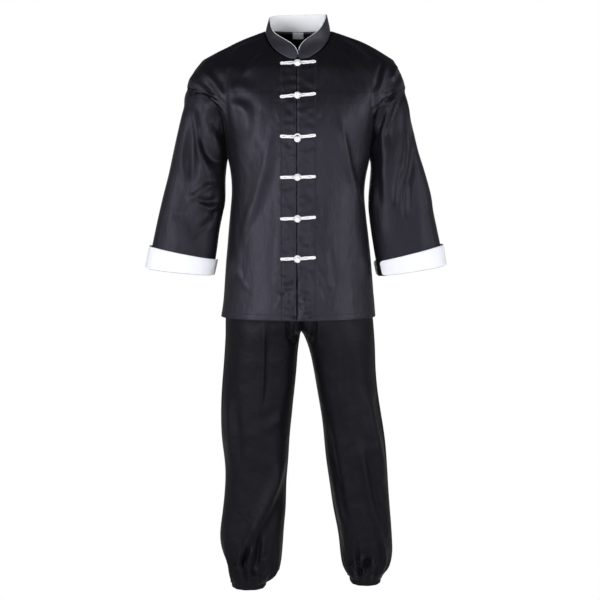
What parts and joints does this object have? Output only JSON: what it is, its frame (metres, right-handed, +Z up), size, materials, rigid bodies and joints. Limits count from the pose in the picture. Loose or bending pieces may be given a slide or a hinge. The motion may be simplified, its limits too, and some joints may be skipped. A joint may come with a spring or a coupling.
{
  "type": "tai chi uniform",
  "caption": "Stand-collar martial arts jacket with knotted cord fasteners and turned-back white cuffs, and loose trousers gathered at the ankles, in worn shape",
  "frame": {"origin": "between the shoulders, level with the points where the shoulder seams meet the neck, in the plane of the shoulder seams, where the wearer carries it", "axes": "+X to the wearer's left, -Y out of the front, +Z up towards the collar"},
  "size_m": [0.7782, 0.275, 1.5007],
  "materials": {
    "black_sateen": "cotton sateen with a soft sheen",
    "black_cotton": "matte plain-woven cotton",
    "white_cotton": "matte plain-woven cotton",
    "white_cord": "rolled cotton cord"
  },
  "bodies": {
    "root": {"front_right": "black_sateen", "front_left": "black_sateen", "back": "black_sateen", "sleeve_right": "black_sateen", "sleeve_left": "black_sateen", "collar": "black_sateen", "cuff_right": "white_cotton", "cuff_left": "white_cotton", "collar_lining": "white_cotton", "label": "white_cotton", "frog_1_loop": "white_cord", "frog_1_arm": "white_cord", "frog_1_knot": "white_cord", "frog_2_loop": "white_cord", "frog_2_arm": "white_cord", "frog_2_knot": "white_cord", "frog_3_loop": "white_cord", "frog_3_arm": "white_cord", "frog_3_knot": "white_cord", "frog_4_loop": "white_cord", "frog_4_arm": "white_cord", "frog_4_knot": "white_cord", "frog_5_loop": "white_cord", "frog_5_arm": "white_cord", "frog_5_knot": "white_cord", "frog_6_loop": "white_cord", "frog_6_arm": "white_cord", "frog_6_knot": "white_cord", "trouser_front_right": "black_cotton", "trouser_back_right": "black_cotton", "trouser_front_left": "black_cotton", "trouser_back_left": "black_cotton", "ankle_band_right": "black_cotton", "ankle_band_left": "black_cotton", "waistband": "black_cotton"}
  },
  "joints": []
}
